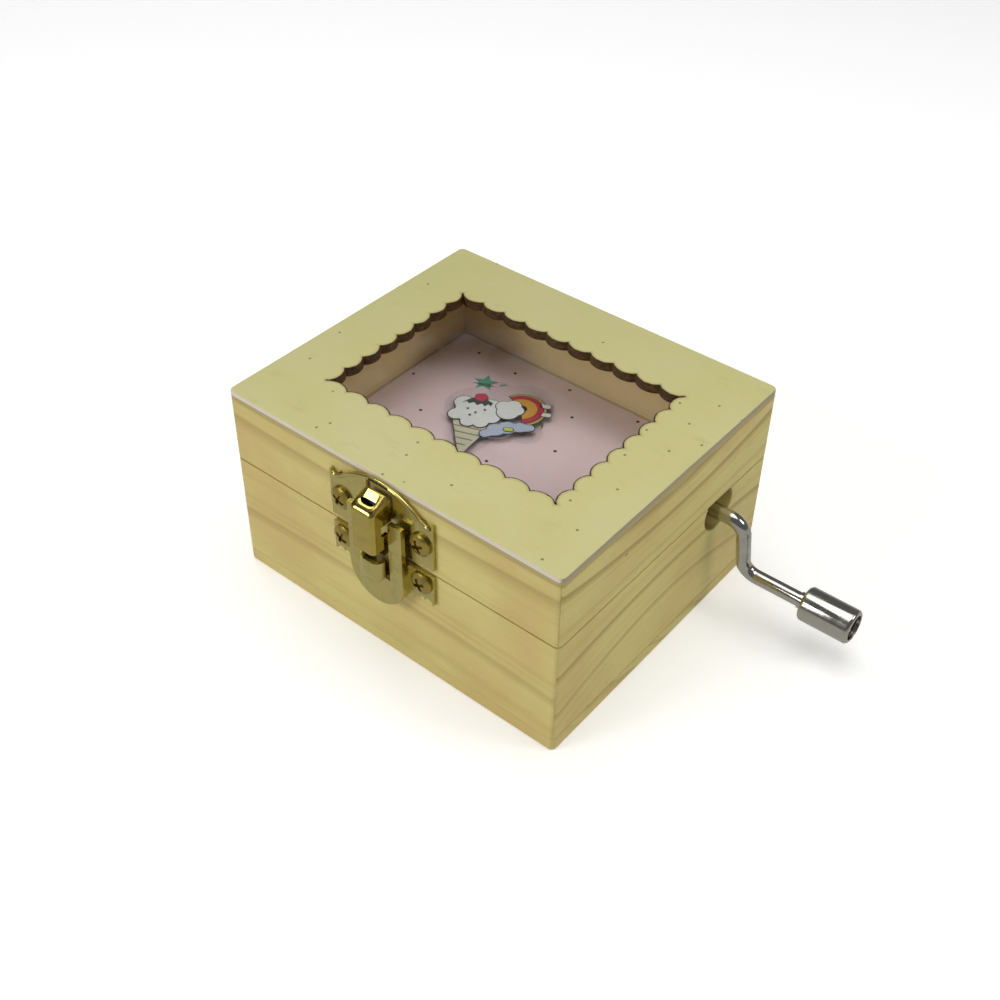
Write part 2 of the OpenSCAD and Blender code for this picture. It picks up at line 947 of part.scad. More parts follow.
module latch_keeper() {
    slot_z = keeper_top - fork_drop;
    sheet = 0.8;
    color(brass)
        difference() {
            union() {
                difference() {
                    on_front()
                        linear_extrude(latch_t)
                            keeper_outline();
                    on_front()
                        translate([0, 0, -eps])
                            linear_extrude(latch_t + 2 * eps)
                                tongue_outline(tongue_half - sheet, keeper_top + 1);
                }
                // Side wall of the raised tongue
                on_front()
                    linear_extrude(tongue_out)
                        difference() {
                            tongue_outline(tongue_half, keeper_top);
                            tongue_outline(tongue_half - sheet, keeper_top + 1);
                        }
                // Raised face of the tongue, forked around the lever
                on_front()
                    translate([0, 0, tongue_out - tongue_t])
                        linear_extrude(tongue_t)
                            difference() {
                                tongue_outline(tongue_half, tongue_top);
                                translate([-fork_half, slot_z])
                                    square([2 * fork_half, tongue_top]);
                            }
                keeper_lip();
            }
            on_front()
                for (s = [-1, 1])
                    translate([s * latch_screw_x, keeper_screw_z, -eps])
                        cylinder(d = wood_screw_d + 0.2, h = latch_t + 2 * eps);
        }
}

module latch_screws_at(z) {
    color(brass)
        on_front()
            for (s = [-1, 1])
                translate([s * latch_screw_x, z, latch_t])
                    rotate([0, 0, 25 * s])
                        screw(latch_head_d, head_h, wood_screw_d, screw_l);
}

module keeper_screws() {
    latch_screws_at(keeper_screw_z);
}

module latch_plate_screws() {
    latch_screws_at(upper_screw_z);
}

// ---- Hinges ----

// Puts a child at each hinge, with X along the pin and the origin on its axis
module at_hinges() {
    for (s = [-1, 1])
        translate([s * hinge_spacing / 2, hinge_y, hinge_z])
            children();
}

// Places an outward-pointing child at each hinge screw, above (1) or below (-1) the pin
module hinge_screw_places(up) {
    for (s = [-1, 1], k = [-1, 1])
        translate([
            s * hinge_spacing / 2 + k * hinge_screw_x,
            back_y,
            hinge_z + up * hinge_screw_up
        ])
            rotate([-90, 0, 0])
                children();
}

module knuckle(from_x, to_x) {
    bar_x(from_x, to_x, barrel_d);
}

// One leaf below the pin, with clear space left around the other leaf's knuckles
module hinge_leaf(own, other) {
    clear_z = barrel_d / 2 + 0.3;
    outer = back_y - hinge_y;
    difference() {
        translate([-hinge_w / 2, outer, -leaf_h])
            cube([hinge_w, leaf_t, leaf_h]);
        for (r = other)
            translate([r[0] - knuckle_gap, outer - eps, -clear_z])
                cube([r[1] - r[0] + 2 * knuckle_gap, leaf_t + 2 * eps, clear_z + eps]);
    }
    for (r = own)
        knuckle(r[0], r[1]);
}

side_knuckles = [
    [-hinge_w / 2, -middle_knuckle / 2 - knuckle_gap],
    [middle_knuckle / 2 + knuckle_gap, hinge_w / 2]
];
mid_knuckles = [[-middle_knuckle / 2, middle_knuckle / 2]];

module hinge_leaves_base() {
    color(brass)
        difference() {
            at_hinges()
                difference() {
                    hinge_leaf(side_knuckles, mid_knuckles);
                    bar_x(-hinge_w, hinge_w, hinge_pin_d);
                }
            hinge_screw_places(-1)
                translate([0, 0, -eps])
                    cylinder(d = hinge_screw_d + 0.2, h = leaf_t + 2 * eps);
        }
}

module hinge_leaves_lid() {
    color(brass)
        difference() {
            at_hinges()
                difference() {
                    mirror([0, 0, 1]) hinge_leaf(mid_knuckles, side_knuckles);
                    bar_x(-hinge_w, hinge_w, hinge_pin_d + 2 * running);
                }
            hinge_screw_places(1)
                translate([0, 0, -eps])
                    cylinder(d = hinge_screw_d + 0.2, h = leaf_t + 2 * eps);
        }
}

module hinge_pins() {
    color(steel)
        at_hinges()
            bar_x(-hinge_w / 2, hinge_w / 2, hinge_pin_d);
}

module hinge_screws_base() {
    color(brass)
        hinge_screw_places(-1)
            translate([0, 0, leaf_t])
                screw(hinge_head_d, 0.8, hinge_screw_d, 4);
}

module hinge_screws_lid() {
    color(brass)
        hinge_screw_places(1)
            translate([0, 0, leaf_t])
                screw(hinge_head_d, 0.8, hinge_screw_d, 4);
}

// ---- Lid ----

module lid_wall_z() {
    translate([0, 0, lid_z])
        children();
}

module lid_front_wall() {
    color(pine)
        difference() {
            lid_wall_z() front_wall_solid(lid_wall_h);
            on_front()
                for (s = [-1, 1])
                    translate([s * latch_screw_x, upper_screw_z, latch_t - screw_l])
                        cylinder(d = wood_screw_d, h = screw_l);
        }
}

module lid_back_wall() {
    color(pine)
        difference() {
            lid_wall_z() mirror([0, 1, 0]) front_wall_solid(lid_wall_h);
            hinge_screw_places(1)
                translate([0, 0, leaf_t - 4])
                    cylinder(d = hinge_screw_d, h = 4);
        }
}

module lid_left_wall() {
    color(pine)
        lid_wall_z() mirror([1, 0, 0]) side_wall_solid(lid_wall_h);
}

module lid_right_wall() {
    color(pine)
        lid_wall_z() side_wall_solid(lid_wall_h);
}

// Row of round lobes along X that narrow the window from one side
module lobe_row(length, count) {
    lobe_lap = 0.03;
    pitch = length / count;
    r = (pitch * pitch / 4 + scallop_depth * scallop_depth) / (2 * scallop_depth);
    for (i = [0 : count - 1])
        translate([-length / 2 + (i + 0.5) * pitch, scallop_depth - r])
            circle(r = r + lobe_lap);
}

module window_outline() {
    w = case_w - 2 * window_side;
    d = case_d - 2 * window_end;
    difference() {
        square([w, d], center = true);
        for (a = [0, 180])
            rotate(a) {
                translate([0, -d / 2])
                    lobe_row(w, round(w / scallop_pitch));
                translate([-w / 2, 0])
                    rotate(-90)
                        lobe_row(d, round(d / scallop_pitch));
            }
    }
}

module lid_top_panel() {
    color(pale_wood)
        translate([0, 0, top_z - panel_t])
            difference() {
                rounded_prism(case_w, case_d, panel_t, corner_r);
                translate([0, 0, -eps])
                    linear_extrude(panel_t + 2 * eps)
                        window_outline();
            }
}

module window_sheet() {
    color(clear)
        floor_sheet(top_z - panel_t - sheet_t, sheet_t, drop_in);
}

base_bottom_board();
base_front_wall();
base_back_wall();
base_left_wall();
base_right_wall();
platform_posts();
platform_board();
picture_card();
charm_pad();
acrylic_charm();
movement_bedplate();
movement_screws();
bearing_brackets();
bracket_screws();
comb();
comb_screws();
latch_keeper();
keeper_screws();
hinge_leaves_base();
hinge_screws_base();
hinge_pins();
lid_front_wall();
lid_back_wall();
lid_left_wall();
lid_right_wall();
lid_top_panel();
window_sheet();
hinge_leaves_lid();
hinge_screws_lid();
latch_plate();
latch_plate_screws();
latch_pivot_pin();
latch_lever();
crank_rod();
crank_worm();
crank_knob();
cylinder_arbor();
cylinder_drum();
cylinder_pins();
cylinder_wheel();
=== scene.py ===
"""Looks of a hand-cranked music box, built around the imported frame.

Metres, in the frame's own axes: the latch faces -Y, the crank side is +X, and up is +Z.
Textures are laid out in millimetres, because the wood's and the metal's detail is that small.
"""

import json
import math

import bmesh
import bpy
from mathutils import Matrix, Vector


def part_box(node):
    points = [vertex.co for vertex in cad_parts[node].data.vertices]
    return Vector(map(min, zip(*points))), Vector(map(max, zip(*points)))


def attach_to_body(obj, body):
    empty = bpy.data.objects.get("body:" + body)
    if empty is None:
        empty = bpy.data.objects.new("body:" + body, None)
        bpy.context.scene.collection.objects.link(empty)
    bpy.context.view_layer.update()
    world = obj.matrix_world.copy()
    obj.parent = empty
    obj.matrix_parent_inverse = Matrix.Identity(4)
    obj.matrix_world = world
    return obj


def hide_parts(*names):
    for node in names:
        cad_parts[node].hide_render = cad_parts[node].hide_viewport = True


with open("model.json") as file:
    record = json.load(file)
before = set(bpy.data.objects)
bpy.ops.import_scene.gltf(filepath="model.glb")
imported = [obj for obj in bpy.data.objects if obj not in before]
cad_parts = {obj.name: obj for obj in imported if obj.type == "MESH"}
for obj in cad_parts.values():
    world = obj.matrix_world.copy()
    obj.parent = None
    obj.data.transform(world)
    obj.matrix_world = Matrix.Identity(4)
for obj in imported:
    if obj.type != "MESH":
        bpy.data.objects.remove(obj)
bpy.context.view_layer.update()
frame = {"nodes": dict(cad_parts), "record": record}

MM = 0.001
BODY_OF = {
    node: body
    for body, nodes in frame["record"]["behaviour"]["bodies"].items()
    for node in nodes
}

# Case, from the frame
PANEL_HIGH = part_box("lid_top_panel")[1]
CASE_HALF = Vector((PANEL_HIGH.x, PANEL_HIGH.y)) / MM
TOP_Z = PANEL_HIGH.z / MM
CARD_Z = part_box("picture_card")[1].z
CHARM_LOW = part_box("acrylic_charm")[0]

# The window's scalloped outline, in millimetres
WINDOW_HALF = Vector((27.7, 20.05))
SCALLOPS = (10, 8)
SCALLOP_DEPTH = 1.1

# An edge whose faces turn by more than this is sharp
SHARP = math.radians(32)

# Widths of the rounded edges, in metres
WOOD_EDGE = 0.25 * MM
WORN_EDGE = 0.5 * MM
JOINT_EDGE = 0.12 * MM
SHEET_EDGE = 0.16 * MM
FINE_EDGE = 0.06 * MM


# ---- Camera, lights and floor ----


def make_camera():
    azimuth, elevation, roll = (math.radians(a) for a in (38.68, 39.36, 0.97))
    distance, slide, lift = 0.28655, -0.00029, 0.02223
    focal = 1.353
    back = Vector((
        math.sin(azimuth) * math.cos(elevation),
        -math.cos(azimuth) * math.cos(elevation),
        math.sin(elevation),
    ))
    level = Vector((math.cos(azimuth), math.sin(azimuth), 0))
    upright = back.cross(level)
    right = level * math.cos(roll) + upright * math.sin(roll)
    up = upright * math.cos(roll) - level * math.sin(roll)
    data = bpy.data.cameras.new("camera")
    data.sensor_width = 36
    data.lens = focal * data.sensor_width
    data.shift_y = -0.05
    data.clip_start = 0.01
    camera = bpy.data.objects.new("camera", data)
    turn = Matrix((right, up, back)).transposed()
    camera.matrix_world = (
        Matrix.Translation(back * distance + right * slide + up * lift) @ turn.to_4x4()
    )
    bpy.context.collection.objects.link(camera)
    bpy.context.scene.camera = camera


def soft_light(name, place, size, power, colour=(1, 1, 1)):
    """A square soft light that faces the object's middle."""
    data = bpy.data.lights.new(name, "AREA")
    data.shape = "SQUARE"
    data.size = size
    data.energy = power
    data.color = colour
    light = bpy.data.objects.new(name, data)
    target = Vector((0, 0, 0.02))
    light.location = place
    light.rotation_euler = (target - Vector(place)).to_track_quat("-Z", "Y").to_euler()
    bpy.context.collection.objects.link(light)


def make_studio():
    soft_light("overhead", (0.02, 0.02, 0.62), 0.46, 1.6, (1, 0.99, 0.97))
    soft_light("front_left", (-0.34, -0.68, 0.44), 0.34, 2.65)
    soft_light("right_back", (0.52, 0.26, 0.48), 0.26, 1.05)
    soft_light("left_kicker", (-0.30, 0.09, 0.53), 0.15, 0.35)
    world = bpy.data.worlds.new("studio")
    world.use_nodes = True
    # A dim room above the table, and the table's soft grey where polished metal looks down
    nodes, links = world.node_tree.nodes, world.node_tree.links
    place = nodes.new("ShaderNodeTexCoord")
    axes = nodes.new("ShaderNodeSeparateXYZ")
    ramp = nodes.new("ShaderNodeValToRGB")
    scale = nodes.new("ShaderNodeMapRange")
    scale.inputs[1].default_value, scale.inputs[2].default_value = -1, 1
    links.new(place.outputs["Generated"], axes.inputs[0])
    links.new(axes.outputs[2], scale.inputs[0])
    links.new(scale.outputs[0], ramp.inputs[0])
    low, high = ramp.color_ramp.elements
    low.position, low.color = 0.47, (0.5, 0.49, 0.46, 1)
    high.position, high.color = 0.53, (0.14, 0.145, 0.15, 1)
    links.new(ramp.outputs[0], nodes["Background"].inputs["Color"])
    bpy.context.scene.world = world
    bpy.context.scene.view_settings.view_transform = "Standard"

    half = 2
    below = -0.1 * MM
    mesh = bpy.data.meshes.new("floor")
    corners = [(-half, -half), (half, -half), (half, half), (-half, half)]
    mesh.from_pydata([(x, y, below) for x, y in corners], [], [(0, 1, 2, 3)])
    floor = bpy.data.objects.new("floor", mesh)
    bpy.context.collection.objects.link(floor)
    floor.visible_glossy = False
    shade = Shade("floor_paper")
    grain = shade.noise(shade.millimetres(), 0.6, detail=3)
    white = shade.ramp(grain, [(0.3, (0.89, 0.89, 0.885)), (0.7, (0.91, 0.91, 0.905))])
    glow = {"Emission Color": (1, 1, 1), "Emission Strength": 0.36}
    mesh.materials.append(shade.surface(white, roughness=0.9, specular=0.1, **glow))


# ---- Materials ----


def srgb(red, green, blue):
    """A screen colour, 0 to 255, as linear light."""
    return tuple(((c / 255 + 0.055) / 1.055) ** 2.4 if c > 10 else c / 3295 for c in (red, green, blue))


def shade_of(colour, factor):
    return tuple(min(1, c * factor) for c in colour)


class Shade:
    """A node material. Each method adds nodes and returns the socket that they end in."""

    def __init__(self, name):
        self.material = bpy.data.materials.new(name)
        self.material.use_nodes = True
        self.tree = self.material.node_tree
        self.tree.nodes.clear()

    def put(self, socket, value):
        if isinstance(value, bpy.types.NodeSocket):
            self.tree.links.new(value, socket)
        elif socket.type == "RGBA":
            socket.default_value = (*value[:3], 1)
        else:
            socket.default_value = value

    def node(self, kind, sockets=None, **settings):
        made = self.tree.nodes.new("ShaderNode" + kind)
        for key, value in settings.items():
            setattr(made, key, value)
        for key, value in (sockets or {}).items():
            self.put(made.inputs[key], value)
        return made

    def math(self, operation, *values):
        return self.node("Math", dict(enumerate(values)), operation=operation).outputs[0]

    def millimetres(self):
        """The place on the object, in millimetres in the frame's axes."""
        place = self.node("TexCoord").outputs["Object"]
        scale = {0: place, "Scale": 1 / MM}
        return self.node("VectorMath", scale, operation="SCALE").outputs[0]

    def split(self, vector):
        return self.node("SeparateXYZ", {0: vector}).outputs

    def join(self, x, y, z):
        return self.node("CombineXYZ", {0: x, 1: y, 2: z}).outputs[0]

    def stretch(self, vector, factors):
        return self.node("VectorMath", {0: vector, 1: factors}, operation="MULTIPLY").outputs[0]

    def shift(self, vector, step):
        return self.node("VectorMath", {0: vector, 1: step}, operation="ADD").outputs[0]

    def noise(self, vector, scale, detail=2.0, roughness=0.5):
        sockets = {"Vector": vector, "Scale": scale, "Detail": detail, "Roughness": roughness}
        return self.node("TexNoise", sockets).outputs[0]

    def cells(self, vector, scale, plane="3D"):
        """Distance to the nearest random point, and that point's random colour."""
        sockets = {"Vector": vector, "Scale": scale}
        made = self.node("TexVoronoi", sockets, voronoi_dimensions=plane)
        return made.outputs["Distance"], made.outputs["Color"]

    def ramp(self, factor, stops):
        """Colours or greys at places from 0 to 1, blended evenly between them."""
        made = self.node("ValToRGB", {0: factor})
        ramp = made.color_ramp
        while len(ramp.elements) < len(stops):
            ramp.elements.new(0.5)
        for element, (position, colour) in zip(ramp.elements, stops):
            element.position = position
            grey = not hasattr(colour, "__len__")
            element.color = (colour, colour, colour, 1) if grey else (*colour, 1)
        return made.outputs[0]

    def step(self, value, low, high):
        """Smooth step from 0 at low to 1 at high; low may be the larger."""
        sockets = {0: value, 1: low, 2: high}
        return self.node("MapRange", sockets, interpolation_type="SMOOTHSTEP").outputs[0]

    def mix(self, factor, first, second):
        made = self.node("Mix", data_type="RGBA")
        factor_in, first_in, second_in = made.inputs[0], made.inputs[6], made.inputs[7]
        self.put(factor_in, factor)
        self.put(first_in, first)
        self.put(second_in, second)
        return made.outputs[2]

    def bump(self, height, depth, strength=1.0):
        """A bump of a depth in millimetres."""
        sockets = {"Height": height, "Distance": depth * MM, "Strength": strength}
        return self.node("Bump", sockets).outputs[0]

    def end(self, shader):
        out = self.node("OutputMaterial")
        self.tree.links.new(shader, out.inputs["Surface"])
        return self.material

    def principled(self, colour, roughness, metallic=0.0, specular=0.5, normal=None, **direct):
        sockets = {
            "Base Color": colour,
            "Roughness": roughness,
            "Metallic": metallic,
            "Specular IOR Level": specular,
            **direct,
        }
        if normal is not None:
            sockets["Normal"] = normal
        return self.node("BsdfPrincipled", sockets).outputs[0]

    def surface(self, colour, roughness, **settings):
        return self.end(self.principled(colour, roughness, **settings))


PINE_PALE = srgb(208, 193, 120)
PINE_WARM = srgb(201, 178, 110)
PINE_LATE = srgb(158, 133, 68)
PINE_FLECK = srgb(96, 72, 38)


def pine(name, grain, bands, seed, opening=0.0, centre_z=28.0):
    """Bare pine with the grain along X or Y.

    bands are the late-wood lines that the growth rings leave: (height, width, strength), in
    millimetres up the face. opening spreads them away from centre_z towards the board's ends.
    """
    low, high = -6.0, 50.0
    shade = Shade(name)
    place = shade.millimetres()
    x, y, z = shade.split(place)
    along, deep = (x, y) if grain == "X" else (y, x)
    length = CASE_HALF.x if grain == "X" else CASE_HALF.y

    # Height on the rings: it wanders along the board, leans with depth and opens at the ends
    wander = shade.noise(
        shade.shift(shade.join(shade.math("MULTIPLY", along, 0.03), z, deep), (seed, seed, 0)),
        0.06, detail=1,
    )
    wander = shade.math("MULTIPLY", shade.math("SUBTRACT", wander, 0.5), 7)
    from_centre = shade.math("SUBTRACT", z, centre_z)
    end = shade.math("POWER", shade.math("ABSOLUTE", shade.math("DIVIDE", along, length)), 2.0)
    spread = shade.math("ADD", shade.math("MULTIPLY", end, opening), 1)
    height = shade.math("ADD", shade.math("DIVIDE", from_centre, spread), centre_z)
    height = shade.math("ADD", height, wander)
    height = shade.math("ADD", height, shade.math("MULTIPLY", deep, 0.35 if grain == "X" else -0.3))
    ring = shade.math("DIVIDE", shade.math("SUBTRACT", height, low), high - low)

    stops = [(0.0, 0.0)]
    for middle, width, strength in sorted(bands):
        stops += [
            ((middle - 0.75 * width - low) / (high - low), 0.0),
            ((middle + 0.15 * width - low) / (high - low), strength),
            ((middle + 0.35 * width - low) / (high - low), 0.0),
        ]
    late = shade.ramp(ring, stops)

    fibre = shade.noise(
        shade.shift(shade.join(shade.math("MULTIPLY", along, 0.09), z, deep), (seed, 0, seed)),
        2.2, detail=5, roughness=0.65,
    )
    streak = shade.noise(shade.join(shade.math("MULTIPLY", along, 0.012), height, seed), 0.55, detail=3)
    patch = shade.noise(shade.shift(place, (seed, seed, seed)), 0.05, detail=2)

    colour = shade.mix(shade.step(patch, 0.35, 0.7), PINE_PALE, PINE_WARM)
    faint = shade.math("MULTIPLY", shade.step(streak, 0.48, 0.85), 0.5)
    colour = shade.mix(faint, colour, shade_of(PINE_LATE, 1.25))
    colour = shade.mix(late, colour, PINE_LATE)
    dark_fibre = shade.math("MULTIPLY", shade.step(fibre, 0.55, 0.25), 0.12)
    colour = shade.mix(dark_fibre, colour, shade_of(PINE_LATE, 0.95))
    light_fibre = shade.math("MULTIPLY", shade.step(fibre, 0.55, 0.8), 0.14)
    colour = shade.mix(light_fibre, colour, srgb(222, 208, 150))

    # A few resin flecks, drawn out along the grain
    near, kind = shade.cells(
        shade.shift(shade.join(shade.math("MULTIPLY", along, 0.4), z, deep), (seed, 0, 0)), 0.14
    )
    chosen = shade.step(shade.split(kind)[0], 0.62, 0.64)
    fleck = shade.math("MULTIPLY", shade.step(near, 0.035, 0.015), chosen)
    colour = shade.mix(shade.math("MULTIPLY", fleck, 0.8), colour, PINE_FLECK)

    # The faces inside the case are fresher and paler than the handled outside
    inside = shade.math(
        "MULTIPLY",
        shade.step(shade.math("ABSOLUTE", x), CASE_HALF.x - 5.7, CASE_HALF.x - 5.9),
        shade.step(shade.math("ABSOLUTE", y), CASE_HALF.y - 5.7, CASE_HALF.y - 5.9),
    )
    colour = shade.mix(shade.math("MULTIPLY", inside, 0.55), colour, srgb(238, 216, 172))

    rough = shade.ramp(fibre, [(0.2, 0.62), (0.8, 0.48)])
    relief = shade.math("ADD", fibre, shade.math("MULTIPLY", late, 0.35))
    normal = shade.bump(relief, 0.04, 0.4)
    return shade.surface(colour, rough, specular=0.35, normal=normal)


def window_distance(shade, x, y):
    """Millimetres from the window's scalloped edge into the wood."""
    far = []
    for this, other, half, other_half, count in (
        (x, y, WINDOW_HALF.x, WINDOW_HALF.y, SCALLOPS[0]),
        (y, x, WINDOW_HALF.y, WINDOW_HALF.x, SCALLOPS[1]),
    ):
        pitch = 2 * half / count
        radius = (pitch * pitch / 4 + SCALLOP_DEPTH**2) / (2 * SCALLOP_DEPTH)
        centre = other_half - SCALLOP_DEPTH + radius
        turn = shade.math("FRACT", shade.math("DIVIDE", shade.math("ABSOLUTE", this), pitch))
        side = shade.math("MULTIPLY", shade.math("SUBTRACT", turn, 0.5), pitch)
        out = shade.math("SUBTRACT", shade.math("ABSOLUTE", other), centre)
        out = shade.math("MINIMUM", out, 0.0)
        squares = shade.math("ADD", shade.math("MULTIPLY", side, side), shade.math("MULTIPLY", out, out))
        far.append(shade.math("SUBTRACT", radius, shade.math("SQRT", squares)))
    return shade.math("MAXIMUM", *far)


def panel_wood():
    """Thin pale plywood, scorched where the window was cut."""
    shade = Shade("panel_wood")
    place = shade.millimetres()
    x, y, z = shade.split(place)
    fibre = shade.noise(shade.stretch(place, (0.1, 1.5, 1.5)), 2.4, detail=5, roughness=0.6)
    patch = shade.noise(place, 0.045, detail=3)
    smudge = shade.noise(shade.stretch(place, (0.5, 1, 1)), 0.22, detail=4, roughness=0.65)
    colour = shade.mix(shade.step(patch, 0.35, 0.7), srgb(208, 202, 138), srgb(212, 205, 150))
    # Painted shade: the top is darker towards the back-left, where the light falls off
    painted_falloff = shade.step(shade.math("SUBTRACT", y, x), -50, 70)
    colour = shade.mix(shade.math("MULTIPLY", painted_falloff, 0.5), colour, srgb(186, 182, 128))
    colour = shade.mix(
        shade.math("MULTIPLY", shade.step(fibre, 0.5, 0.25), 0.16), colour, srgb(186, 172, 112)
    )
    colour = shade.mix(
        shade.math("MULTIPLY", shade.step(smudge, 0.58, 0.78), 0.22), colour, srgb(172, 158, 104)
    )

    # Dark specks, thicker in some places than in others
    near, kind = shade.cells(place, 0.17, "2D")
    crowd = shade.math("ADD", shade.noise(place, 0.05, detail=0), shade.math("MULTIPLY", x, 0.004))
    chosen = shade.step(shade.math("ADD", shade.split(kind)[0], crowd), 1.17, 1.19)
    speck = shade.math("MULTIPLY", shade.step(near, 0.06, 0.03), chosen)
    colour = shade.mix(shade.math("MULTIPLY", speck, 0.75), colour, srgb(78, 84, 52))

    # Plies on the edges: a whitish face ply over a darker core. On the edges that face along X the face ply
    # is painted darker, as painted shade on those sides.
    facing = shade.split(shade.node("TexCoord").outputs["Normal"])
    edge_on = shade.step(shade.math("ABSOLUTE", facing[2]), 0.72, 0.55)
    ply = shade.step(z, TOP_Z - 1.05, TOP_Z - 0.9)
    sides = shade.step(shade.math("ABSOLUTE", facing[0]), 0.4, 0.8)
    face_ply_and_side_shade = shade.mix(sides, srgb(214, 203, 186), srgb(158, 150, 126))
    edge = shade.mix(ply, srgb(176, 158, 104), face_ply_and_side_shade)
    colour = shade.mix(edge_on, colour, edge)

    # Scorched window: brown halo, near-black rim, uneven brown wall
    depth = window_distance(shade, x, y)
    flicker = shade.noise(shade.stretch(place, (1, 1, 2.5)), 0.9, detail=4, roughness=0.7)
    uneven = shade.math("MULTIPLY", shade.math("SUBTRACT", flicker, 0.5), 0.5)
    burn = shade.math("ADD", depth, uneven)
    halo = shade.math("MULTIPLY", shade.step(burn, 0.95, 0.1), 0.34)
    colour = shade.mix(halo, colour, srgb(140, 108, 48))
    colour = shade.mix(shade.step(burn, 0.34, 0.14), colour, srgb(52, 36, 18))
    within = [
        shade.step(shade.math("ABSOLUTE", axis), half + 1.2, half + 0.6)
        for axis, half in ((x, WINDOW_HALF.x), (y, WINDOW_HALF.y))
    ]
    wall = shade.math("MULTIPLY", edge_on, shade.math("MULTIPLY", *within))
    char = shade.ramp(
        flicker, [(0.3, srgb(44, 29, 13)), (0.55, srgb(86, 60, 26)), (0.78, srgb(138, 104, 50))]
    )
    colour = shade.mix(wall, colour, char)

    rough = shade.ramp(smudge, [(0.3, 0.5), (0.75, 0.62)])
    relief = shade.math("SUBTRACT", fibre, shade.math("MULTIPLY", wall, flicker))
    return shade.surface(colour, rough, specular=0.3, normal=shade.bump(relief, 0.03, 0.5))


def board_stock():
    """Grey-brown board with short mottled fibres."""
    shade = Shade("board_stock")
    place = shade.millimetres()
    mottle = shade.noise(place, 1.4, detail=5, roughness=0.7)
    colour = shade.ramp(mottle, [(0.3, srgb(150, 134, 104)), (0.7, srgb(182, 166, 134))])
    return shade.surface(colour, roughness=0.8, specular=0.2, normal=shade.bump(mottle, 0.03, 0.5))


def printed_card():
    """Coated card with a pink print."""
    shade = Shade("card_print")
    place = shade.millimetres()
    tone = shade.noise(place, 0.05, detail=2)
    tooth = shade.noise(place, 7, detail=2)
    colour = shade.mix(shade.step(tone, 0.3, 0.7), srgb(232, 206, 208), srgb(236, 211, 214))
    colour = shade.mix(shade.math("MULTIPLY", shade.step(tooth, 0.4, 0.6), 0.08), colour, (1, 1, 1))
    return shade.surface(colour, roughness=0.42, specular=0.5, normal=shade.bump(tooth, 0.004, 0.4))


def ink(name, colour):
    """A flat printed colour with the slight unevenness of a print."""
    shade = Shade(name)
    tooth = shade.noise(shade.millimetres(), 5, detail=3)
    tone = shade.ramp(tooth, [(0.3, shade_of(colour, 0.92)), (0.7, shade_of(colour, 1.06))])
    return shade.surface(tone, roughness=0.45, specular=0.4)


def foam():
    shade = Shade("white_foam")
    near, _ = shade.cells(shade.millimetres(), 3.5)
    tone = shade.ramp(near, [(0.1, (0.74, 0.74, 0.73)), (0.5, (0.86, 0.86, 0.85))])
    return shade.surface(tone, roughness=0.85, specular=0.2, normal=shade.bump(near, 0.08, 0.7))


def metal(name, colour, roughness, smudge=0.35, scratch=0.25, grain=(1, 1, 1), painted_shade=None):
    """Plated or plain metal with smudges and fine scratches. grain stretches the scratches.

    painted_shade(shade) gives the share of painted shade at each place: there the colour is darkened nearly
    to black and the metal made rougher.
    """
    shade = Shade(name)
    place = shade.millimetres()
    haze = shade.noise(place, 0.35, detail=4, roughness=0.6)
    line = shade.noise(shade.stretch(place, grain), 6, detail=3, roughness=0.7)
    tone = shade.mix(
        shade.math("MULTIPLY", shade.step(haze, 0.45, 0.7), smudge), colour, shade_of(colour, 0.62)
    )
    rough = shade.math("ADD", shade.math("MULTIPLY", shade.step(haze, 0.35, 0.7), 0.12), roughness)
    # Painted shade: the colour goes nearly black where the mask says shade falls
    if painted_shade:
        share = painted_shade(shade)
        tone = shade.mix(share, tone, shade_of(colour, 0.1))
        rough = shade.math("MAXIMUM", rough, shade.math("MULTIPLY", share, 0.6))
    normal = shade.bump(line, 0.008, scratch)
    return shade.surface(tone, rough, metallic=1.0, normal=normal)


def clear_plastic(name, tint, dust, roughness=0.04):
    """Clear sheet: it lets light straight through and mirrors at low angles, with a little dust."""
    shade = Shade(name)
    place = shade.millimetres()
    through = shade.node("BsdfTransparent", {"Color": tint}).outputs[0]
    mirror = shade.node("BsdfGlossy", {"Color": (1, 1, 1), "Roughness": roughness}).outputs[0]
    front = shade.math("SUBTRACT", 1.0, shade.node("NewGeometry").outputs["Backfacing"])
    share = shade.math("MULTIPLY", shade.node("Fresnel", {"IOR": 1.49}).outputs[0], front)
    sheet = shade.node("MixShader", {0: share, 1: through, 2: mirror}).outputs[0]
    haze = shade.noise(place, 0.12, detail=5, roughness=0.6)
    near, kind = shade.cells(place, 0.5)
    mote = shade.math(
        "MULTIPLY", shade.step(near, 0.06, 0.02), shade.step(shade.split(kind)[1], 0.7, 0.72)
    )
    film = shade.math("MULTIPLY", shade.step(haze, 0.45, 0.8), dust)
    film = shade.math("MAXIMUM", film, shade.math("MULTIPLY", mote, 4 * dust))
    white = shade.principled((0.9, 0.9, 0.92), 0.6)
    return shade.end(shade.node("MixShader", {0: film, 1: sheet, 2: white}).outputs[0])


# ---- Mesh helpers ----


def add_mesh(name, shape):
    """Turns a bmesh into an object with smooth faces between its sharp edges."""
    for face in shape.faces:
        face.smooth = True
    for edge in shape.edges:
        edge.smooth = len(edge.link_faces) == 2 and edge.calc_face_angle(0) < SHARP
    mesh = bpy.data.meshes.new(name)
    shape.to_mesh(mesh)
    shape.free()
    piece = bpy.data.objects.new(name, mesh)
    bpy.context.collection.objects.link(piece)
    return piece


def attach(piece, material, body, nodes=()):
    """Gives a piece its finish and its body, and the CAD nodes that it stands for."""
    piece.data.materials.clear()
    piece.data.materials.append(material)
    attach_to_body(piece, body)
    if nodes:
        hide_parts(*nodes)
    return piece


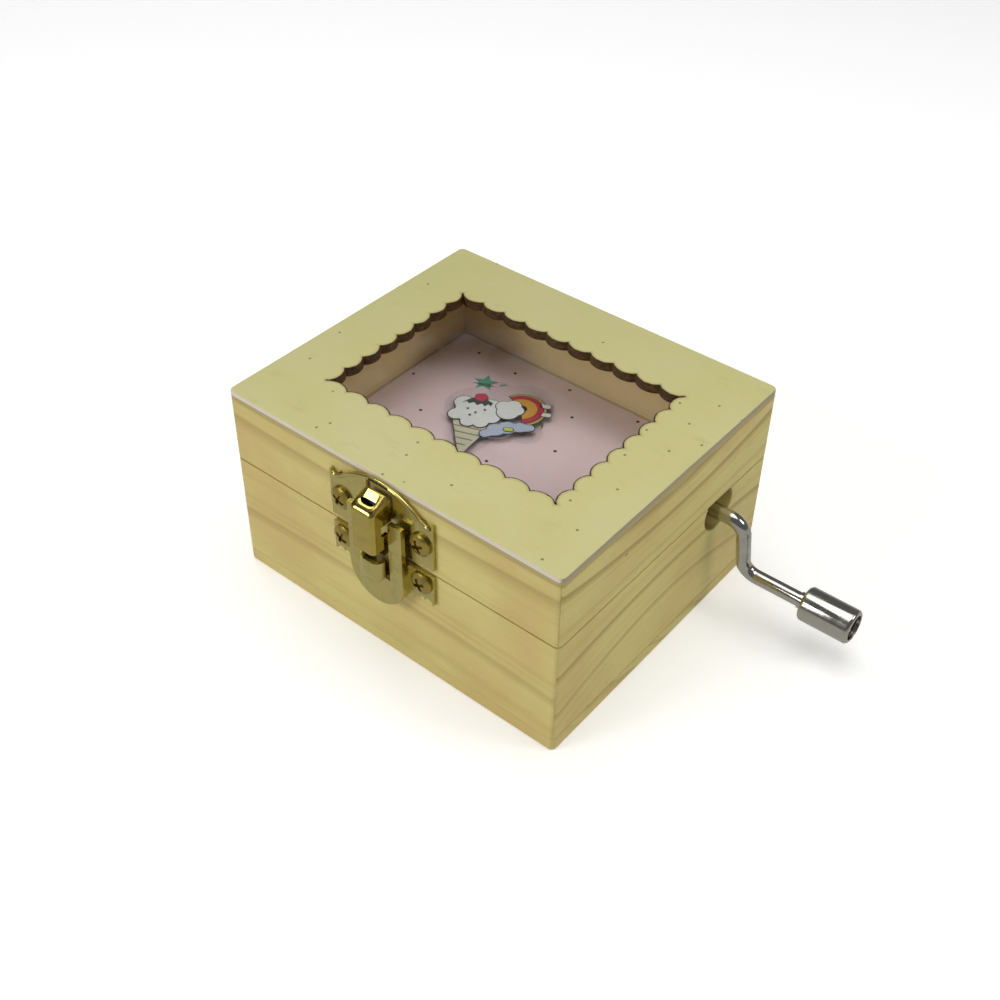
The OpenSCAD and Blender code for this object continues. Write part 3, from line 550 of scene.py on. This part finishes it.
def cad_shape(node):
    """A CAD node's shape with its flat faces joined, so that its edges can be rounded."""
    shape = bmesh.new()
    shape.from_mesh(frame["nodes"][node].data)
    bmesh.ops.remove_doubles(shape, verts=shape.verts, dist=0.0005 * MM)
    flat = math.radians(0.6)
    bmesh.ops.dissolve_limit(shape, angle_limit=flat, verts=shape.verts, edges=shape.edges)
    return shape


def on_mitre(edge):
    """True for an edge in one of the corners' 45-degree joints."""
    return all(
        abs((CASE_HALF.x - abs(v.co.x) / MM) - (CASE_HALF.y - abs(v.co.y) / MM)) < 0.02
        for v in edge.verts
    )


def round_edges(piece, width, segments=2):
    bevel = piece.modifiers.new("rounded edges", "BEVEL")
    bevel.width = width
    bevel.segments = segments
    bevel.limit_method = "WEIGHT"
    bevel.harden_normals = True


def rounded_copy(node, width, segments=2, width_at=None):
    """A copy of a CAD node with rounded edges. width_at(edge) gives an edge its own share of width."""
    shape = cad_shape(node)
    weight = shape.edges.layers.float.new("bevel_weight_edge")
    for edge in shape.edges:
        if len(edge.link_faces) == 2 and edge.calc_face_angle(0) >= SHARP:
            edge[weight] = 1.0 if width_at is None else width_at(edge)
    piece = add_mesh(node + "_finished", shape)
    if width:
        round_edges(piece, width, segments)
    return piece


def finish_node(node, material, width, segments=2, width_at=None):
    piece = rounded_copy(node, width, segments, width_at)
    return attach(piece, material, BODY_OF[node], [node])


# ---- Wooden case ----


def wall_edge(edge):
    """Walls meet closely at their mitres, and their long edges are a little softer."""
    return JOINT_EDGE / WOOD_EDGE if on_mitre(edge) else 1.0


def board_edge(edge):
    """The bottom board's underside is worn, and its joint with the walls is crisp."""
    low = all(v.co.z < 0.1 * MM for v in edge.verts)
    return 1.0 if low else JOINT_EDGE / WORN_EDGE


def panel_edge(edge):
    """The panel's outer top edge is eased, and the rest stays as it was cut."""
    outside = all(
        max(abs(v.co.x) / MM - WINDOW_HALF.x, abs(v.co.y) / MM - WINDOW_HALF.y) > 2 for v in edge.verts
    )
    high = all(v.co.z / MM > TOP_Z - 0.1 for v in edge.verts)
    return 1.0 if outside and high else 0.4


FRONT_BANDS = [(3.6, 2.2, 0.5), (7.5, 1.6, 0.2), (25.2, 3.4, 0.55), (29.5, 1.2, 0.18), (36.8, 2.6, 0.3)]
BACK_BANDS = [(6, 1.6, 0.5), (12, 2.2, 0.35), (19.5, 1.5, 0.55), (30.5, 2.4, 0.45), (37.5, 1.4, 0.4)]
RIGHT_BANDS = [(2.5, 1.6, 0.6), (10.2, 1.9, 0.8), (17.6, 1.2, 0.3), (23.8, 1.8, 0.9), (28.4, 2.0, 0.85),
               (34.2, 1.9, 0.95), (39.6, 2.0, 0.8)]
LEFT_BANDS = [(5.5, 2, 0.55), (14, 1.4, 0.5), (22, 2.2, 0.4), (31, 1.6, 0.6), (38, 2, 0.45)]
FLOOR_BANDS = [(-3, 2, 0.5), (2, 1.5, 0.4), (6, 1.8, 0.5)]


def make_case():
    walls = {
        "front": pine("pine_front", "X", FRONT_BANDS, 3.0, opening=0.1),
        "back": pine("pine_back", "X", BACK_BANDS, 17.0, opening=0.25),
        "right": pine("pine_right", "Y", RIGHT_BANDS, 41.0, opening=0.45, centre_z=29.5),
        "left": pine("pine_left", "Y", LEFT_BANDS, 59.0, opening=0.3),
    }
    for side, wood in walls.items():
        for level in ("base", "lid"):
            finish_node(f"{level}_{side}_wall", wood, WOOD_EDGE, width_at=wall_edge)
    bottom = pine("pine_bottom", "X", FLOOR_BANDS, 83.0)
    finish_node("base_bottom_board", bottom, WORN_EDGE, 3, board_edge)
    finish_node("platform_posts", bottom, JOINT_EDGE)
    finish_node("lid_top_panel", panel_wood(), WOOD_EDGE, width_at=panel_edge)
    window = clear_plastic("window_sheet_clear", (0.985, 0.985, 0.98), 0.035)
    finish_node("window_sheet", window, FINE_EDGE)


# ---- Picture floor ----


def flat_shape(outlines, low, high):
    """Closed flat pieces between two heights, from outlines in metres."""
    shape = bmesh.new()
    for outline in outlines:
        under = [shape.verts.new((x, y, low)) for x, y in outline]
        over = [shape.verts.new((x, y, high)) for x, y in outline]
        shape.faces.new(list(reversed(under)))
        shape.faces.new(over)
        for i, start in enumerate(under):
            j = (i + 1) % len(under)
            shape.faces.new([start, under[j], over[j], over[i]])
    bmesh.ops.recalc_face_normals(shape, faces=shape.faces)
    return shape


def disc(x, y, radius, sides=20, wobble=0.0, lobes=5, turn=0.0):
    """A round outline; wobble makes lobes in it."""
    points = []
    for i in range(sides):
        a = 2 * math.pi * i / sides
        r = radius * (1 + wobble * math.cos(lobes * a + turn))
        points.append((x + r * math.cos(a), y + r * math.sin(a)))
    return points


def placed(points, at, angle):
    """Points in millimetres, turned, moved and turned into metres."""
    c, s = math.cos(angle), math.sin(angle)
    return [((at[0] + c * x - s * y) * MM, (at[1] + s * x + c * y) * MM) for x, y in points]


CARD_DOTS = [(-32.2, 9), (-15.6, 23.2), (-3, 26), (-22.5, 0.5), (3, 18.8), (-1.5, -3.4), (7, 7.8),
             (-26.4, 24), (14.2, 26.4), (-14, -6), (18, -4), (24, 14), (10, -14), (27, 2), (-28, -16),
             (-6, -20), (20, -22), (30, 22)]
STAR_AT = (-18.3, 16.5)


def star_half(upper):
    """Half of a five-pointed star that a wavy gap splits in two."""
    outer, inner, gap, steps = 2.9, 1.35, 0.28, 12
    corners = []
    for i in range(10):
        a = math.radians(90 + 36 * i)
        r = inner if i % 2 else outer
        corners.append(Vector((r * math.cos(a), r * math.sin(a))))
    outline = []
    for start, stop in zip(corners, corners[1:] + corners[:1]):
        outline += [start.lerp(stop, t / steps) for t in range(steps)]

    def rim(x):
        middle = -0.55 + 0.22 * math.sin(2.2 * x)
        return middle + gap / 2 if upper else middle - gap / 2

    kept = []
    for point in outline:
        beyond = point.y > rim(point.x) if upper else point.y < rim(point.x)
        kept.append((point.x, point.y if beyond else rim(point.x)))
    return kept


def make_picture():
    finish_node("platform_board", board_stock(), JOINT_EDGE)
    finish_node("picture_card", printed_card(), FINE_EDGE)
    low, high = CARD_Z - 0.02 * MM, CARD_Z + 0.015 * MM

    dots = [placed(disc(x, y, 0.36, wobble=0.12, turn=x), (0, 0), 0) for x, y in CARD_DOTS]
    piece = add_mesh("card_dots", flat_shape(dots, low, high))
    attach(piece, ink("dot_ink", srgb(62, 36, 44)), "case")

    angle = math.radians(24)
    star = [placed(star_half(upper), STAR_AT, angle) for upper in (True, False)]
    shard = [(3.1, -0.6), (4.4, 0.1), (4.6, 0.7), (3.4, 0.2)]
    star.append(placed(shard, STAR_AT, angle))
    piece = add_mesh("card_star", flat_shape(star, low, high))
    attach(piece, ink("star_ink", srgb(92, 176, 152)), "case")


# ---- Acrylic charm ----

CHARM_AT = (-7, 6)
CHARM_ANGLE = math.radians(28)
OUTLINE_INK = srgb(58, 60, 56)


def grown(points, margin):
    """A closed outline moved outwards by a margin."""
    count = len(points)
    area = sum(
        points[i][0] * points[(i + 1) % count][1] - points[(i + 1) % count][0] * points[i][1]
        for i in range(count)
    )
    sign = 1 if area > 0 else -1
    moved = []
    for i in range(count):
        before, here, after = (Vector(points[j % count]) for j in (i - 1, i, i + 1))
        first, second = (here - before).normalized(), (after - here).normalized()
        out = Vector((first.y, -first.x)) + Vector((second.y, -second.x))
        out = out.normalized() * sign
        widen = max(0.5, out.dot(Vector((first.y, -first.x)) * sign))
        moved.append(tuple(here + out * margin / widen))
    return moved


def arc_band(centre, inner, outer, start, stop, steps=24):
    """Part of a ring, between two angles in degrees."""
    angles = [math.radians(start + (stop - start) * i / steps) for i in range(steps + 1)]
    rim = [(centre[0] + outer * math.cos(a), centre[1] + outer * math.sin(a)) for a in angles]
    core = [(centre[0] + inner * math.cos(a), centre[1] + inner * math.sin(a)) for a in angles]
    return rim + core[::-1]


def puff(circles, steps=90):
    """The outline around overlapping circles, as a cloud or a scoop has it."""
    cx = sum(c[0] for c in circles) / len(circles)
    cy = sum(c[1] for c in circles) / len(circles)
    outline = []
    for i in range(steps):
        a = 2 * math.pi * i / steps
        ux, uy = math.cos(a), math.sin(a)
        reach = 0.0
        for x, y, r in circles:
            dx, dy = x - cx, y - cy
            along = dx * ux + dy * uy
            inside = r * r - (dx * dx + dy * dy - along * along)
            if inside > 0:
                reach = max(reach, along + math.sqrt(inside))
        outline.append((cx + reach * ux, cy + reach * uy))
    return outline


def charm_art():
    """The print's shapes: (name, colour, outlines, layer, whether it has a dark line round it)."""
    bow = (4.4, 5.4)
    scoop = puff([(-4.9, 2.9, 4.1), (-8.4, 1.1, 1.7), (-7.6, 5.2, 2.1), (-1.9, 4.9, 2.2), (-1.1, 1.3, 1.8),
                  (-5.6, -0.9, 1.5), (-3.0, -0.7, 1.6)])
    cone = [(-8.9, -0.2), (-5.6, -10.4), (-5.0, -10.9), (-4.4, -10.6), (-0.6, -1.0)]
    sauce = [(-7.9, 5.2), (-6.2, 6.9), (-3.6, 7.1), (-1.7, 5.9), (-1.9, 4.9), (-2.6, 5.5), (-3.2, 4.6),
             (-3.9, 5.5), (-4.8, 4.7), (-5.6, 5.6), (-6.6, 5.0), (-7.1, 5.7)]
    cloud = puff([(1.9, 3.6, 2.3), (0.7, 5.4, 1.6), (2.6, 5.9, 1.7), (3.6, 4.4, 1.5)])
    drift = puff([(0.6, -2.6, 1.9), (2.7, -1.5, 1.9), (5.2, -0.9, 1.5), (7.2, -0.7, 1.0), (-1.2, -4.2, 1.2)])
    lines = [
        [(-8.3 + 0.6 * i, -2.2 - 1.9 * i), (-8.2 + 0.6 * i, -2.45 - 1.9 * i),
         (-1.6 - 0.95 * i, -3.2 - 1.75 * i), (-1.7 - 0.95 * i, -2.95 - 1.75 * i)]
        for i in range(4)
    ]
    return [
        ("cone", srgb(214, 208, 182), [cone], 1, True),
        ("wafer", srgb(176, 162, 122), lines, 2, False),
        ("scoop", srgb(232, 234, 230), [scoop], 3, True),
        ("sauce", srgb(52, 66, 54), [sauce], 4, False),
        ("berry", srgb(206, 44, 84), [disc(-4.4, 7.2, 1.25, wobble=0.06)], 5, True),
        ("bow_rim", srgb(196, 178, 92), [arc_band(bow, 4.5, 5.2, -78, 128)], 1, True),
        ("bow_red", srgb(190, 40, 68), [arc_band(bow, 3.3, 4.5, -78, 128)], 2, True),
        ("bow_gold", srgb(214, 160, 60), [arc_band(bow, 1.2, 3.3, -78, 128)], 3, False),
        ("cloud", srgb(230, 232, 230), [cloud], 4, True),
        ("drift", srgb(184, 196, 218), [drift], 4, True),
        ("leaf", srgb(206, 212, 92), [disc(3.1, -2.1, 0.75, wobble=0.3, lobes=2)], 5, True),
        ("puffs", srgb(228, 228, 224), [disc(9.1, 7.4, 0.9, wobble=0.35, lobes=2),
                                        disc(9.6, 4.6, 0.85, wobble=0.35, lobes=2)], 2, True),
        ("sprinkles", srgb(120, 120, 116), [disc(x, y, 0.3) for x, y in
                                            ((-6.4, 3.2), (-4.6, 2.2), (-2.9, 3.4), (-5.6, 1.2))], 4, False),
    ]


def make_charm():
    clear = clear_plastic("charm_clear", (0.965, 0.97, 0.97), 0.02, roughness=0.03)
    body = finish_node("acrylic_charm", clear, 0.35 * MM, 3)
    body.name = "charm_slab"
    finish_node("charm_pad", foam(), FINE_EDGE)
    bottom = CHARM_LOW.z + 0.45 * MM
    layer_step, line = 0.06 * MM, 0.2
    outline_ink = ink("outline_ink", OUTLINE_INK)
    for name, colour, outlines, layer, lined in charm_art():
        low = bottom + layer * 2 * layer_step
        fills = [placed(points, CHARM_AT, CHARM_ANGLE) for points in outlines]
        top = low + 2 * layer_step
        piece = add_mesh(f"charm_{name}", flat_shape(fills, low, top))
        attach(piece, ink(f"{name}_ink", colour), "case")
        if lined:
            rims = [placed(grown(points, line), CHARM_AT, CHARM_ANGLE) for points in outlines]
            piece = add_mesh(f"charm_{name}_line", flat_shape(rims, low - layer_step / 2, top - layer_step))
            attach(piece, outline_ink, "case")


# ---- Latch ----


def ears_painted_shade(shade):
    """Painted shade on the plate between the lever's cheeks, where the plate's ears stand hidden inside the
    lever.
    """
    low, high = (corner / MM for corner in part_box("latch_plate"))
    x, y, z = shade.split(shade.millimetres())
    near = shade.step(shade.math("ABSOLUTE", x), 2.4, 2.3)
    return shade.math("MULTIPLY", near, shade.math("MULTIPLY", shade.step(y, high.y - 0.9, high.y - 1.0),
                                                   shade.step(z, low.z + 4, low.z + 5)))


def channel_painted_shade(shade):
    """Painted shade on the faces of the lever's channel."""
    low, high = (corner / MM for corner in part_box("latch_lever"))
    x, y, z = shade.split(shade.millimetres())
    near = shade.step(shade.math("ABSOLUTE", x), high.x - 0.5, high.x - 0.56)
    behind = shade.step(y, low.y + 0.6, low.y + 0.66)
    fall = shade.math("MULTIPLY", shade.math("SUBTRACT", high.y, y), 0.3)
    under = shade.step(shade.math("ADD", z, fall), high.z - 0.42, high.z - 0.5)
    return shade.math("MULTIPLY", near, shade.math("MULTIPLY", behind, under))


def keeper_edge(edge):
    """The tongue that stands out is well rounded, and the thin plate's edge only broken."""
    plate_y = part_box("latch_keeper")[1].y / MM - 1.0
    return 1.0 if all(v.co.y / MM < plate_y for v in edge.verts) else 0.35


def make_latch():
    brass = metal("latch_plating", srgb(205, 192, 120), 0.2, smudge=0.3, painted_shade=ears_painted_shade)
    bright = metal("latch_plating_bright", srgb(200, 180, 98), 0.13, smudge=0.3, painted_shade=channel_painted_shade)
    worn = metal("latch_screw_plating", srgb(178, 158, 84), 0.22, smudge=0.5, scratch=0.5)
    finish_node("latch_plate", brass, SHEET_EDGE)
    finish_node("latch_keeper", brass, 0.36 * MM, 3, keeper_edge)
    for node in ("keeper_screws", "latch_plate_screws"):
        finish_node(node, worn, 0.09 * MM)
    finish_node("latch_pivot_pin", plated_steel, FINE_EDGE)
    make_lever(bright)
    make_rim(brass)


def prism(profile, half_width):
    """A solid from a (y, z) profile in millimetres, from -half_width to half_width along X."""
    shape = bmesh.new()
    ends = [
        [shape.verts.new((x * MM, y * MM, z * MM)) for y, z in profile]
        for x in (-half_width, half_width)
    ]
    shape.faces.new(ends[0])
    shape.faces.new(ends[1][::-1])
    for i in range(len(profile)):
        j = (i + 1) % len(profile)
        shape.faces.new([ends[0][i], ends[1][i], ends[1][j], ends[0][j]])
    bmesh.ops.recalc_face_normals(shape, faces=shape.faces)
    return shape


def cut_away(piece, cutters):
    """Takes the cutters out of a piece, with the piece's own modifiers made real first."""
    for cutter in cutters:
        cut = piece.modifiers.new("cut", "BOOLEAN")
        cut.operation = "DIFFERENCE"
        cut.solver = "EXACT"
        cut.object = cutter
    done = piece.evaluated_get(bpy.context.evaluated_depsgraph_get())
    mesh = bpy.data.meshes.new_from_object(done)
    shape = bmesh.new()
    shape.from_mesh(mesh)
    name = piece.name
    for old in (piece, *cutters):
        bpy.data.objects.remove(old)
    piece = add_mesh(name, shape)
    piece.modifiers.new("even normals", "WEIGHTED_NORMAL").keep_sharp = True
    return piece


def make_lever(material):
    """Pressed sheet: a bar with a pillowed top, hollow from behind, with a notch in each side."""
    low, high = (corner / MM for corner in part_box("latch_lever"))
    half, sheet, round_r = high.x, 0.6, 1.5
    front, rear, foot, top = low.y + 0.1, high.y, low.z, high.z
    section = []
    for cx, cy, r, start in (
        (half - 1.0, front + 1.0, 1.0, -90), (half - 0.15, rear - 0.15, 0.15, 0),
        (-half + 0.15, rear - 0.15, 0.15, 90), (-half + 1.0, front + 1.0, 1.0, 180),
    ):
        for i in range(7):
            a = math.radians(start + 15 * i)
            section.append(Vector((cx + r * math.cos(a), cy + r * math.sin(a))))
    middle = Vector((0, (front + rear) / 2))

    def slope(y):
        """The top falls towards the front."""
        return top - 0.3 * (rear - y)

    shape = bmesh.new()
    rings = []
    for i, turn in enumerate([0.0] + [math.radians(10 * step) for step in range(10)]):
        ring = []
        for point in section:
            if i == 0:
                x, y, z = point.x, point.y, foot
            else:
                inset = round_r * (1 - math.cos(turn))
                x = point.x - math.copysign(min(inset, abs(point.x)), point.x)
                behind = point.y > middle.y
                y = point.y - inset * 0.8 if behind else point.y + inset * 1.1
                z = slope(point.y) - round_r * (1 - math.sin(turn))
            ring.append(shape.verts.new(Vector((x, y, z)) * MM))
        rings.append(ring)
    count = len(section)
    for ring, after in zip(rings, rings[1:]):
        for k in range(count):
            m = (k + 1) % count
            shape.faces.new([ring[k], ring[m], after[m], after[k]])
    shape.faces.new(rings[0][::-1])
    shape.faces.new(rings[-1])
    bmesh.ops.remove_doubles(shape, verts=shape.verts, dist=0.001 * MM)
    bmesh.ops.recalc_face_normals(shape, faces=shape.faces)
    body = add_mesh("latch_lever_finished", shape)

    channel = add_mesh("channel", prism([
        (front + sheet, foot - 1), (front + sheet, top - 2.45), (front + 0.8, top - 1.95),
        (front + 1.3, top - 1.65), (rear - 1.3, top - 0.65), (rear + 1, top - 0.65), (rear + 1, foot - 1),
    ], half - sheet))
    notch = add_mesh("notch", prism([
        (rear - 2.8, foot + 3.2), (rear - 2.8, foot + 5.5), (rear + 1, foot + 5.4),
        (rear + 1, foot - 1), (rear - 1.9, foot - 1), (rear - 1.6, foot), (rear - 1.1, foot + 3.1),
    ], half + 1))
    pin_low, pin_high = (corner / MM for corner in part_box("latch_pivot_pin"))
    pin = (pin_low + pin_high) / 2
    bore_r = (pin_high.z - pin_low.z) / 2 + 0.05
    bore = add_mesh("bore", prism([
        (pin.y + bore_r * math.cos(a), pin.z + bore_r * math.sin(a))
        for a in (2 * math.pi * i / 24 for i in range(24))
    ], pin_high.x + 0.05))
    made = cut_away(body, [notch, channel, bore])
    attach(made, material, "latch_lever", ["latch_lever"])


def tube(name, points, radius, sides=12):
    """A round bar along points, closed at both ends."""
    shape = bmesh.new()
    rings = []
    for i, point in enumerate(points):
        ahead = points[min(i + 1, len(points) - 1)] - points[max(i - 1, 0)]
        side = ahead.normalized().cross(Vector((0, 1, 0))).normalized()
        other = side.cross(ahead.normalized())
        rings.append([
            shape.verts.new(point + radius * (math.cos(a) * side + math.sin(a) * other))
            for a in (2 * math.pi * k / sides for k in range(sides))
        ])
    for ring, after in zip(rings, rings[1:]):
        for k in range(sides):
            m = (k + 1) % sides
            shape.faces.new([ring[k], ring[m], after[m], after[k]])
    shape.faces.new(rings[0][::-1])
    shape.faces.new(rings[-1])
    bmesh.ops.recalc_face_normals(shape, faces=shape.faces)
    return add_mesh(name, shape)


def make_rim(material):
    """The plate's arch is turned outwards into a round rim that dips before each horn."""
    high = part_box("latch_plate")[1]
    plate_t, horn_r = 0.8, 0.95
    face_y = (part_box("base_front_wall")[0].y / MM) - plate_t
    arch_r, arch_half, rim_r = 14.25, 10.3, 0.42
    centre_z = high.z / MM - arch_r - 0.1
    points = []
    horn_x, horn_z = high.x / MM - 0.4, centre_z + 10.75
    for t in range(7):
        a = math.radians(-35 - 21 * t)
        points.append((horn_x - horn_r + horn_r * math.cos(a), horn_z + horn_r * math.sin(a)))
    reach = math.asin(arch_half / arch_r) - 0.06
    for t in range(33):
        a = reach * (1 - t / 16)
        points.append((arch_r * math.sin(a), centre_z + arch_r * math.cos(a) - 0.12))
    points += [(-x, z) for x, z in reversed(points[:7])]
    # The sharp turns between the arch and its horns are evened out
    for _ in range(3):
        inner = [
            ((a[0] + 2 * b[0] + c[0]) / 4, (a[1] + 2 * b[1] + c[1]) / 4)
            for a, b, c in zip(points, points[1:], points[2:])
        ]
        points = [points[0], *inner, points[-1]]
    path = [Vector((x, face_y + 0.12, z)) * MM for x, z in points]
    attach(tube("latch_plate_rim", path, rim_r * MM), material, "lid")


# ---- Hinges, crank and movement ----


def make_hinges():
    brass = metal("hinge_plating", srgb(208, 184, 112), 0.22)
    for node in ("hinge_leaves_base", "hinge_leaves_lid"):
        finish_node(node, brass, SHEET_EDGE)
    for node in ("hinge_screws_base", "hinge_screws_lid"):
        finish_node(node, brass, FINE_EDGE)
    finish_node("hinge_pins", plated_steel, FINE_EDGE)


def make_crank():
    nickel = metal("crank_nickel_plate", srgb(190, 187, 178), 0.1, smudge=0.2, scratch=0.2)
    finish_node("crank_rod", nickel, FINE_EDGE)
    finish_node("crank_knob", nickel, 0.2 * MM, 3)


def make_movement():
    casting = metal("zinc_casting", srgb(150, 151, 152), 0.42, smudge=0.4, scratch=0.6)
    comb_steel = metal("comb_ground_steel", srgb(176, 178, 182), 0.24, grain=(0.1, 3, 3))
    brass = metal("movement_brass_plain", srgb(204, 170, 92), 0.24)
    finish_node("movement_bedplate", casting, JOINT_EDGE)
    finish_node("comb", comb_steel, 0.04 * MM, 1)
    for node in ("bearing_brackets", "movement_screws", "bracket_screws", "comb_screws", "cylinder_arbor"):
        finish_node(node, plated_steel, FINE_EDGE)
    finish_node("cylinder_pins", plated_steel, 0)
    finish_node("cylinder_drum", brass, FINE_EDGE)
    finish_node("cylinder_wheel", brass, 0.03 * MM, 1)
    finish_node("crank_worm", brass, 0)


make_camera()
make_studio()
plated_steel = metal("zinc_plated_steel", srgb(184, 184, 186), 0.28)
make_case()
make_picture()
make_charm()
make_latch()
make_hinges()
make_crank()
make_movement()
